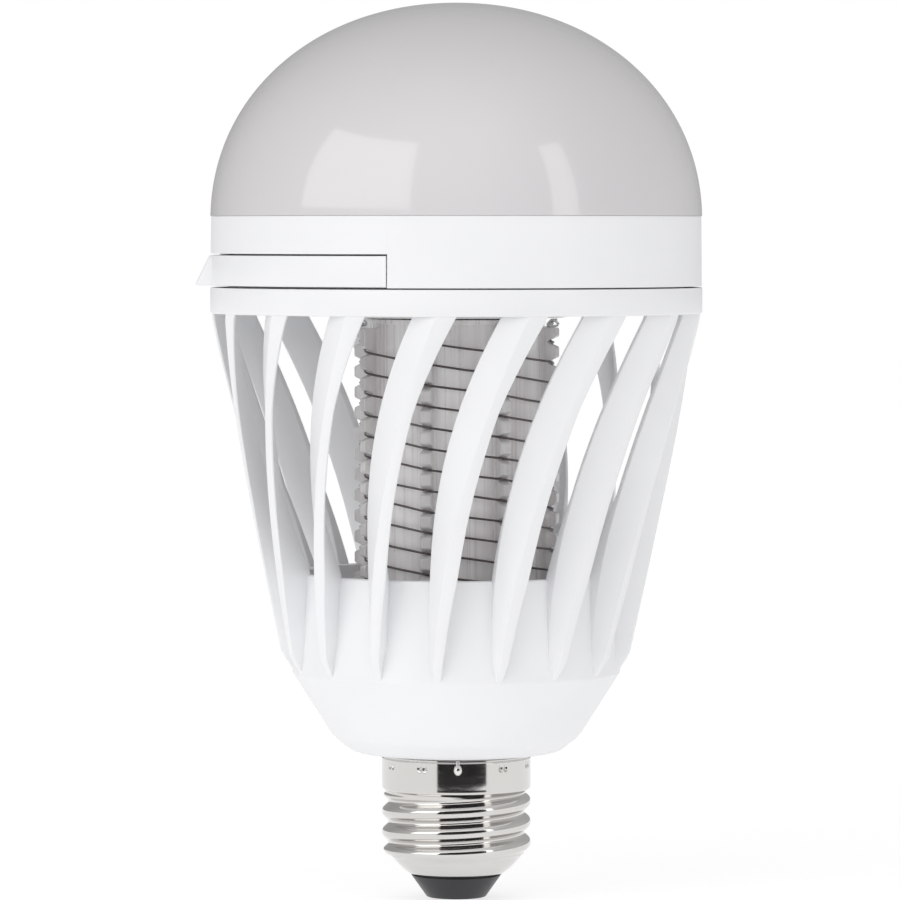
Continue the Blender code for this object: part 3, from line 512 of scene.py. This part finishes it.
def make_brush_handle(white):
    """The curved handle with its finger tab, and the head that holds the bristles."""
    bottom, top, inner = COLLAR_BOTTOM + 0.12 * MM, CHANNEL_TOP - 0.3 * MM, COLLAR_INNER + 0.2 * MM

    def outline(angle):
        reach = TAB_REACH * (1 - smooth_step(5.4, 6.5, abs(angle - TAB_ANGLE)))
        corners = [(inner, bottom, 0.1 * MM), (COLLAR_RADIUS + reach, bottom, 0.25 * MM),
                   (COLLAR_RADIUS + reach * 0.06, top, 0.15 * MM), (inner, top, 0.1 * MM)]
        return rounded(corners, 3)

    shape = Shape()
    shape.turn(outline, steps=172, start=BRUSH_START + 0.35, end=BRUSH_END - 0.3)
    head = [(39.0, 108.8, 0.3), (41.9, 108.8, 0.3), (41.9, 112.8, 0.3), (39.0, 112.8, 0.3)]
    shape.turn(rounded(in_metres(head), 3), steps=24, start=BRUSH_MIDDLE - HEAD_HALF_ANGLE,
               end=BRUSH_MIDDLE + HEAD_HALF_ANGLE)
    place_piece(shape.build("brush_grip", white), "white_plastic", "brush_handle", body="brush")


def make_bristles(nylon):
    """Single bristles in tufts, which splay a little towards their tips."""
    random.seed(7)
    tufts = Shape()
    outward = polar(1.0, BRUSH_MIDDLE, 0.0)
    sideways = polar(1.0, BRUSH_MIDDLE + 90.0, 0.0)
    upward = Vector((0.0, 0.0, 1.0))
    for tuft in range(TUFT_COUNT):
        offset = (tuft - TUFT_COUNT // 2) * TUFT_PITCH
        outer = math.sqrt(TUFT_SEAT ** 2 - offset ** 2)
        for _ in range(BRISTLES_IN_TUFT):
            from_middle = math.sqrt(random.random())
            way = random.uniform(0.0, 2 * math.pi)
            across, rise = math.cos(way) * from_middle, math.sin(way) * from_middle
            length = random.uniform(*BRISTLE_LENGTHS)
            points = []
            for step in range(BRISTLE_PARTS + 1):
                out = TUFT_RADIUS + TUFT_SPLAY * (step / BRISTLE_PARTS) ** 1.3
                points.append(outward * (outer - length * step / BRISTLE_PARTS)
                              + sideways * (offset + across * out)
                              + upward * (TUFT_HEIGHT + rise * out))
            tufts.tube(points, BRISTLE_RADIUS, sides=4)
    bristles = tufts.build("brush_bristles", nylon, sharp=80.0)
    replaced = [f"bristle_tuft_{n}" for n in range(1, TUFT_COUNT + 1)]
    place_piece(bristles, "nylon_bristle", *replaced, body="brush")


DOME_CENTRE = 119.0 * MM
DOME_RADIUS = 43.1 * MM
DOME_HEIGHT = 38.2 * MM
DOME_FULLNESS = 2.08
DOME_BASE = COLLAR_TOP + 0.03 * MM
DOME_WALL = 1.6 * MM


def dome_point(share, base, inset):
    """Radius and height on the dome, a slightly full ellipse, from its top (0) to its base (1)."""
    radius, height = DOME_RADIUS - inset, DOME_HEIGHT - inset
    lowest = (base - DOME_CENTRE) / height
    rise = math.cos(share * math.acos(lowest))
    return radius * (1.0 - abs(rise) ** DOME_FULLNESS) ** (1.0 / DOME_FULLNESS), DOME_CENTRE + height * rise


def make_dome(opal):
    step = DOME_BASE + 1.5 * MM
    foot = 117.4 * MM
    outer = [dome_point(1 - i / 64, DOME_BASE, 0.0) for i in range(65)]
    inner = [dome_point(i / 40, step, DOME_WALL) for i in range(41)]
    skirt = [(39.4 * MM, step), (39.4 * MM, foot), (40.6 * MM, foot), (40.6 * MM, DOME_BASE)]
    shape = Shape()
    shape.turn(outer + inner + skirt, steps=192)
    place_piece(shape.build("dome_shell", opal), "opal_plastic", "dome_diffuser")


# ---------------------------------------------------------------- zapper grid

GRID_POSTS = 8
GRID_FIRST_POST = -17.0
POST_PITCH = FULL_TURN / GRID_POSTS
POST_NOTCHES = 14
POST_ROOT = 14.9 * MM
NOTCH_PITCH = 3.64 * MM
FIRST_NOTCH = 50.7 * MM
GRID_BOTTOM = 47.3 * MM
GRID_TOP = 101.0 * MM
WIRE_COUNT = 4
WIRE_SEATS = 27
WIRE_SEAT_RADIUS = 17.5 * MM
WIRE_SPAN_RADIUS = 16.3 * MM
WIRE_RADIUS = 0.2 * MM
WIRE_SAG = 0.14 * MM


def post_section(offset):
    """Radius and height of a post's toothed edge, from the bottom up. Offset 1 is half a pitch higher."""
    outline = [(POST_ROOT, GRID_BOTTOM + 0.4 * MM), (17.6 * MM, GRID_BOTTOM + 0.4 * MM)]
    for index in range(POST_NOTCHES - offset):
        height = FIRST_NOTCH + NOTCH_PITCH * (index + 0.5 * offset)
        for radius, rise in ((18.55, -1.1), (18.4, -0.85), (17.15, -0.3), (17.0, -0.1),
                             (17.0, 0.1), (17.15, 0.3), (18.4, 0.85), (18.55, 1.1)):
            outline.append((radius * MM, height + rise * MM))
    outline += [(18.55 * MM, GRID_TOP - 0.8 * MM), (18.35 * MM, GRID_TOP - 0.55 * MM),
                (POST_ROOT, GRID_TOP - 0.55 * MM)]
    return outline


def make_posts(clear):
    """The toothed posts, a little narrower at both side faces."""
    posts = Shape()
    for post in range(GRID_POSTS):
        angle = GRID_FIRST_POST + post * POST_PITCH
        sideways = polar(1.0, angle + 90.0, 0.0)
        sections = []
        for side, shrink in ((-0.915, 0.12), (-0.795, 0.0), (0.795, 0.0), (0.915, 0.12)):
            sections.append([polar(r - shrink * MM if r > 16 * MM else r, angle, z) + sideways * side * MM
                             for r, z in post_section(post % 2)])
        posts.loft(sections)
    return posts.build("post_blanks", clear)


def make_grid_frame(clear):
    shape = Shape()
    tube = [(14.1, 47.3, 0.2), (15.5, 47.3, 0.2), (15.5, 101.1, 0), (15.7, 101.2, 0.1), (15.7, 101.95, 0.1),
            (14.1, 101.95, 0.1)]
    shape.turn(rounded(in_metres(tube), 3), steps=128)
    grid = shape.build("zapper_grid", clear, sharp=25.0)
    combine(grid, make_posts(clear), "UNION", sharp=25)
    place_piece(grid, "clear_plastic", "grid_frame")


def make_wires(wire_metal):
    """Four wires wound side by side, each held in a notch of every post and sagging between posts."""
    random.seed(11)
    lift = Vector((0.0, 0.0, 0.12 * MM))
    for wire in range(WIRE_COUNT):
        points = []
        for step in range(WIRE_SEATS):
            angle = GRID_FIRST_POST + FULL_TURN / WIRE_COUNT * wire - POST_PITCH * step
            height = FIRST_NOTCH + 0.5 * NOTCH_PITCH * step
            seat = polar(WIRE_SEAT_RADIUS, angle, height)
            along = polar(1.0, angle + 90.0, 0.0)
            points += [seat + along * 0.75 * MM - lift, seat, seat - along * 0.75 * MM + lift]
            if step < WIRE_SEATS - 1:
                sag = random.uniform(-WIRE_SAG, WIRE_SAG)
                middle = height + 0.25 * NOTCH_PITCH + sag
                points.append(polar(WIRE_SPAN_RADIUS, angle - POST_PITCH / 2, middle))
        shape = Shape()
        shape.tube(points, WIRE_RADIUS, sides=8)
        place_piece(shape.build(f"electrode_wire_{wire + 1}", wire_metal, sharp=60.0), "wire_steel",
                    f"grid_wire_{wire + 1}")


def make_terminals(tin):
    """The bare ends of the electrodes, twisted into an eye on top of two opposite posts."""
    for number, angle in enumerate((GRID_FIRST_POST + 90.0, GRID_FIRST_POST - 90.0), 1):
        along = polar(1.0, angle + 90.0, 0.0)

        def at(radius, height, side=0.0):
            return polar(radius * MM, angle, height * MM) + along * side * MM

        eye = Shape()
        eye.tube([at(17.1, 100.75, -0.5), at(17.9, 100.72, -0.2), at(18.5, 100.8), at(18.62, 101.1),
                  at(18.2, 101.55), at(17.75, 101.85), at(17.35, 101.8, 0.1), at(16.9, 101.35, 0.2),
                  at(16.6, 101.0, 0.2), at(16.7, 100.75, 0.0), at(17.3, 100.95, -0.1), at(17.7, 101.3, -0.2)],
                 0.24 * MM, sides=10)
        eye.tube([at(18.3, 101.95, 0.3), at(17.85, 101.75, 0.3), at(17.5, 101.4, 0.3), at(17.2, 101.1, 0.1)],
                 0.2 * MM, sides=8)
        place_piece(eye.build(f"terminal_eye_{number}", tin, sharp=60.0), "nickel_shell", f"hv_tab_{number}")


# ---------------------------------------------------------------- screw cap

THREAD_PITCH = 3.63 * MM
THREAD_START = 8.9 * MM
THREAD_ROOT = 12.0 * MM
THREAD_DEPTH = 1.12 * MM
THREAD_FROM = 7.9 * MM
THREAD_TO = 20.2 * MM
THREAD_LEVELS = 92
THREAD_FADES_IN = (7.2 * MM, 8.9 * MM)
THREAD_FADES_OUT = (17.9 * MM, 19.3 * MM)
WIDENS_TO_COLLAR = (18.4 * MM, 19.7 * MM)
CAP_RADIUS = 13.12 * MM
CRIMP_COUNT = 11
CRIMP_LEFT_OUT = 2
CRIMP_FIRST = -59.75
CRIMP_PITCH = FULL_TURN / CRIMP_COUNT
CRIMP_SPACING = 2.3
CRIMP_HEIGHT = 23.9 * MM
CRIMP_DEPTH = 0.32 * MM
CRIMP_WIDTH = 0.3 * MM
CRIMP_LENGTH = 0.42 * MM
CRIMP_REACH = 1.2 * MM
SOLDER_ANGLE = 1.2


def thread_radius(height, angle):
    """Radius of the rolled sheet: a thread that fades in above the cone and out below the plain collar."""
    turn = (height - THREAD_START) / THREAD_PITCH - angle / FULL_TURN
    wave = 1.0 - (0.5 - 0.5 * math.cos(2 * math.pi * turn)) ** 1.5
    fade = smooth_step(*THREAD_FADES_IN, height) * (1 - smooth_step(*THREAD_FADES_OUT, height))
    radius = THREAD_ROOT + THREAD_DEPTH * wave * fade
    return radius + (CAP_RADIUS - radius) * smooth_step(*WIDENS_TO_COLLAR, height)


def crimp_dent(height, angle, crimps):
    """Depth of the crimps at a point of the shell's plain collar, from 0 to 1."""
    dent = 0.0
    for crimp in crimps:
        across = math.radians((angle - crimp + 180.0) % FULL_TURN - 180.0) * CAP_RADIUS
        if abs(across) < CRIMP_REACH:
            dent += math.exp(-(across / CRIMP_WIDTH) ** 2 - ((height - CRIMP_HEIGHT) / CRIMP_LENGTH) ** 2)
    return min(dent, 1.0)


def make_shell(nickel):
    """Threaded and crimped sheet-metal shell. One pair of crimps is left out beside the solder."""
    crimps = [CRIMP_FIRST + CRIMP_PITCH * i + side * CRIMP_SPACING
              for i in range(CRIMP_COUNT) if i != CRIMP_LEFT_OUT for side in (-1, 1)]
    cone = [(8.35, 4.4), (9.0, 4.85), (9.75, 5.5), (10.45, 6.2), (11.1, 6.95), (11.65, 7.75)]
    thread_heights = [THREAD_FROM + (THREAD_TO - THREAD_FROM) * i / THREAD_LEVELS
                      for i in range(THREAD_LEVELS + 1)]
    collar_heights = [20.6, 21.4, 22.2, 22.8, *(23.1 + 0.15 * i for i in range(12))]
    rim = [(13.13, 24.85), (13.02, 24.95), (13.02, 25.02), (13.14, 25.1), (13.14, 25.28), (13.0, 25.39),
           (12.82, 25.4), (12.7, 25.3)]
    inner_wall = [(12.7, 19.7), (11.55, 18.5), (11.5, 8.1), (8.0, 4.4)]

    def outline(angle):
        thread = [(thread_radius(z, angle), z) for z in thread_heights]
        collar = [(13.14 * MM - CRIMP_DEPTH * crimp_dent(z * MM, angle, crimps), z * MM)
                  for z in collar_heights]
        return in_metres(cone) + thread + collar + in_metres(rim + inner_wall)

    angles = {round(FULL_TURN * i / 160, 4) for i in range(160)}
    for crimp in crimps:
        angles |= {round((crimp + step * 0.55) % FULL_TURN, 4) for step in range(-6, 7)}
    shell = Shape()
    shell.turn(outline, angles=sorted(angles))
    place_piece(shell.build("cap_shell", nickel, sharp=50.0), "nickel_shell", "screw_shell")


def make_solder(tin):
    """The blob that joins the lead to the shell, and the lead's end above it."""
    blob = Shape()
    dome = [(0.0, -0.3), (0.72, -0.3), (0.78, 0.05), (0.7, 0.3), (0.5, 0.5), (0.25, 0.62), (0.0, 0.66)]
    facing = Matrix.Rotation(math.radians(90), 4, "X")
    seat = Matrix.Translation(polar(13.15 * MM, SOLDER_ANGLE, 23.75 * MM)) @ facing
    squash = Matrix.Diagonal((0.95, 1.25, 1.0, 1.0))
    blob.lathe_at(in_metres(dome), 24, seat @ squash)
    tail_seat = polar(13.1 * MM, SOLDER_ANGLE, 0.0)
    tail = [tail_seat + Vector((0, -0.12 * MM, z * MM)) for z in (24.1, 24.5, 24.9, 25.3)]
    blob.tube(tail, 0.3 * MM, sides=12)
    place_piece(blob.build("shell_solder", tin, sharp=70.0), "tin_solder", "shell_solder_dot")


def make_insulator(black):
    body = [(1.55, 1.0, 0), (3.65, 1.0, 0.1), (3.65, 0.15, 0.1), (5.2, 0.15, 0.35), (8.0, 4.1, 0.2),
            (7.55, 4.15, 0), (7.55, 5.6, 0), (1.55, 5.6, 0)]
    insulator = Shape()
    insulator.turn(rounded(in_metres(body), 4), steps=96)
    place_piece(insulator.build("cap_insulator", black), "black_insulator", "base_insulator")


def make_contact(tin):
    profile = [(0.0, 0.0), (2.6, 0.02), (3.1, 0.12), (3.35, 0.35), (3.4, 0.75), (1.3, 0.75), (1.3, 6.2),
               (0.0, 6.2)]
    button = Shape()
    button.turn(in_metres(profile), steps=64)
    place_piece(button.build("contact_button", tin), "nickel_shell", "centre_contact")


# ---------------------------------------------------------------- light boards and inner pieces

UV_PACKAGE = (2.8, 1.6, 0.8)
UV_WINDOW = (2.0, 1.24, 0.1)
WHITE_PACKAGE = (3.5, 2.8, 0.8)
WHITE_WINDOW = (2.7, 2.1, 0.1)
WINDOW_RISE = 0.36 * MM


def make_led(name, sizes, slot, package_finish, window_finish, facing):
    """A white package with a window, which faces up (1) or down (-1), in the place of the CAD chip."""
    package_size, window_size = ([value * MM for value in size] for size in sizes)
    low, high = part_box(name)
    centre = (Vector(low) + Vector(high)) / 2
    angle = math.atan2(centre.x, -centre.y)
    place = Matrix.Translation(centre) @ Matrix.Rotation(angle, 4, "Z")
    package = Shape()
    package.block(package_size, place, 0.15 * MM)
    place_piece(package.build(f"{name}_package", package_finish), slot, name)
    window = Shape()
    window.block(window_size, place @ Matrix.Translation((0, 0, facing * WINDOW_RISE)), 0.3 * MM)
    place_piece(window.build(f"{name}_window", window_finish), slot)


def make_leds(mask, lens, phosphor):
    for number in range(1, 5):
        make_led(f"uv_led_{number}", (UV_PACKAGE, UV_WINDOW), "uv_led_window", mask, lens, -1)
    for number in range(1, 10):
        make_led(f"white_led_{number}", (WHITE_PACKAGE, WHITE_WINDOW), "led_phosphor", mask, phosphor, 1)


def dress_cad_nodes(made):
    """The inner pieces keep their CAD shape and get a worked finish."""
    dressed = {
        "white": ("driver_bay_cover", "grid_holder", "led_connector"),
        "mask": ("uv_led_board", "white_led_board"),
        "aluminium": ("heat_plate", "input_capacitor"),
        "green": ("driver_board",),
        "black": ("bridge_rectifier", "filter_choke"),
        "tape": ("hv_transformer",),
        "blue": ("hv_capacitor_1", "hv_capacitor_2"),
        "cement": ("fuse_resistor",),
        "steel": [f"{kind}_screw_{n}" for kind in ("cover", "board") for n in range(1, 4)],
        "lead_black": ("led_lead_positive", "led_lead_negative", "centre_contact_lead"),
        "lead_white": ("hv_lead_1", "hv_lead_2", "shell_lead"),
    }
    for key, names in dressed.items():
        for name in names:
            mesh = nodes[name].data
            if not mesh.materials:
                mesh.materials.append(made[key])
            for index in range(len(mesh.materials)):
                mesh.materials[index] = made[key]


# ---------------------------------------------------------------- studio and camera

BASE_LIGHT = 0.4
SOFT_BOXES = (((-76, -22), (6, 41)), ((46, 58), (-8, 37)))
SOFT_BOX_LIGHT = 1.2
SOFT_BOX_EDGE = 1.2
GLOWS = (((0.05, -0.8, 0.75), 0.68), ((-0.9, -0.35, 0.35), 0.22), ((0.9, 0.3, 0.3), 0.2))
GLOW_POWER = 3.0
ROOM_COLOUR = (1.0, 0.995, 0.985, 1.0)
WHITE = (1.0, 1.0, 1.0, 1.0)
FLOOR_RADIUS = 4.0
FLOOR_HEIGHT = -0.3 * MM
CARD_LEFT = -0.064
CARD_RIGHT = 0.122
CARD_PLACE = -0.12
CARD_HEIGHT = 0.1
SENSOR_WIDTH = 36.0
LENS = 207.3
CAMERA_PLACE = (-1.1 * MM, -0.910, 0.117)
CAMERA_TILT = 2.4


def make_world():
    """A light tent with two soft boxes and three edge-free lights, and plain white behind the bulb."""
    world = bpy.data.worlds.new("studio")
    bpy.context.scene.world = world
    world.use_nodes = True
    tree = world.node_tree
    tree.nodes.clear()
    links = tree.links

    def math_node(operation, *values):
        node = tree.nodes.new("ShaderNodeMath")
        node.operation = operation
        for socket, value in zip(node.inputs, values):
            if isinstance(value, (int, float)):
                socket.default_value = value
            else:
                links.new(value, socket)
        return node.outputs[0]

    def slope(value, low, high, to_min, to_max):
        node = tree.nodes.new("ShaderNodeMapRange")
        node.interpolation_type = "SMOOTHSTEP"
        for socket, number in (("From Min", low), ("From Max", high), ("To Min", to_min), ("To Max", to_max)):
            node.inputs[socket].default_value = number
        links.new(value, node.inputs["Value"])
        return node.outputs[0]

    def band(value, low, high):
        """1 between low and high, falling to 0 over the soft edge on each side."""
        rise = slope(value, low - SOFT_BOX_EDGE, low, 0.0, 1.0)
        fall = slope(value, high, high + SOFT_BOX_EDGE, 1.0, 0.0)
        return math_node("MULTIPLY", rise, fall)

    place = tree.nodes.new("ShaderNodeTexCoord")
    split = tree.nodes.new("ShaderNodeSeparateXYZ")
    links.new(place.outputs["Generated"], split.inputs[0])
    x, y, z = split.outputs
    azimuth = math_node("MULTIPLY", math_node("ARCTAN2", x, math_node("MULTIPLY", y, -1.0)), 180 / math.pi)
    elevation = math_node("MULTIPLY", math_node("ARCSINE", z), 180 / math.pi)

    def panel(azimuths, elevations):
        return math_node("MULTIPLY", band(azimuth, *azimuths), band(elevation, *elevations))

    def glow(direction, strength):
        """A large soft light around a direction, without edges."""
        toward = tree.nodes.new("ShaderNodeVectorMath")
        toward.operation = "DOT_PRODUCT"
        links.new(place.outputs["Generated"], toward.inputs[0])
        toward.inputs[1].default_value = Vector(direction).normalized()
        facing = math_node("MAXIMUM", toward.outputs["Value"], 0.0)
        return math_node("MULTIPLY", math_node("POWER", facing, GLOW_POWER), strength)

    light = BASE_LIGHT
    for azimuths, elevations in SOFT_BOXES:
        light = math_node("ADD", light, math_node("MULTIPLY", panel(azimuths, elevations), SOFT_BOX_LIGHT))
    for direction, strength in GLOWS:
        light = math_node("ADD", light, glow(direction, strength))

    room = tree.nodes.new("ShaderNodeBackground")
    room.inputs["Color"].default_value = ROOM_COLOUR
    links.new(light, room.inputs["Strength"])
    view = tree.nodes.new("ShaderNodeBackground")
    view.inputs["Color"].default_value = WHITE
    view.inputs["Strength"].default_value = 1.0
    path = tree.nodes.new("ShaderNodeLightPath")
    choose = tree.nodes.new("ShaderNodeMixShader")
    links.new(path.outputs["Is Camera Ray"], choose.inputs[0])
    links.new(room.outputs[0], choose.inputs[1])
    links.new(view.outputs[0], choose.inputs[2])
    out = tree.nodes.new("ShaderNodeOutputWorld")
    links.new(choose.outputs[0], out.inputs[0])


def make_floor():
    """A pale disc that glows a little, so that it reads as nearly white."""
    mesh = bpy.data.meshes.new("floor")
    bm = bmesh.new()
    bmesh.ops.create_circle(bm, cap_ends=True, segments=96, radius=FLOOR_RADIUS)
    bm.to_mesh(mesh)
    bm.free()
    floor = bpy.data.objects.new("floor", mesh)
    floor.location = (0.0, 0.0, FLOOR_HEIGHT)
    bpy.context.scene.collection.objects.link(floor)
    material, _, shader = new_material("pale_floor")
    shader.inputs["Base Color"].default_value = (0.4, 0.4, 0.4, 1.0)
    shader.inputs["Roughness"].default_value = 0.9
    shader.inputs["Specular IOR Level"].default_value = 0.0
    shader.inputs["Emission Color"].default_value = WHITE
    shader.inputs["Emission Strength"].default_value = 0.72
    mesh.materials.append(material)


def make_dark_card():
    """A dark card in front of the bulb, which shows only as a reflection in glossy pieces."""
    mesh = bpy.data.meshes.new("dark_card")
    corners = [(CARD_LEFT, CARD_PLACE, 0.0), (CARD_RIGHT, CARD_PLACE, 0.0),
               (CARD_RIGHT, CARD_PLACE, CARD_HEIGHT), (CARD_LEFT, CARD_PLACE, CARD_HEIGHT)]
    mesh.from_pydata(corners, [], [(0, 1, 2, 3)])
    card = bpy.data.objects.new("dark_card", mesh)
    card.visible_camera = False
    card.visible_diffuse = False
    card.visible_shadow = False
    card.visible_transmission = False
    bpy.context.scene.collection.objects.link(card)
    material, _, shader = new_material("dark_card")
    shader.inputs["Base Color"].default_value = (0.01, 0.01, 0.01, 1.0)
    shader.inputs["Roughness"].default_value = 0.9
    mesh.materials.append(material)


def make_camera():
    """A long lens in front of the bulb, level with the collar and tilted down a little."""
    data = bpy.data.cameras.new("camera")
    data.sensor_width = SENSOR_WIDTH
    data.lens = LENS
    data.clip_start = 0.05
    camera = bpy.data.objects.new("camera", data)
    camera.location = CAMERA_PLACE
    camera.rotation_euler = (math.radians(90.0 - CAMERA_TILT), 0.0, 0.0)
    bpy.context.scene.collection.objects.link(camera)
    bpy.context.scene.camera = camera


def main():
    scene = bpy.context.scene
    scene.view_settings.view_transform = "Standard"
    scene.view_settings.look = "None"
    made = make_finishes()
    make_camera()
    make_world()
    make_floor()
    make_dark_card()
    make_housing(made["white"])
    make_collar(made["white"])
    make_brush_handle(made["white"])
    make_bristles(made["nylon"])
    make_dome(made["opal"])
    make_grid_frame(made["clear"])
    make_wires(made["wire"])
    make_terminals(made["tin"])
    make_shell(made["nickel"])
    make_solder(made["tin"])
    make_insulator(made["black"])
    make_contact(made["tin"])
    make_leds(made["mask"], made["lens"], made["phosphor"])
    dress_cad_nodes(made)


main()
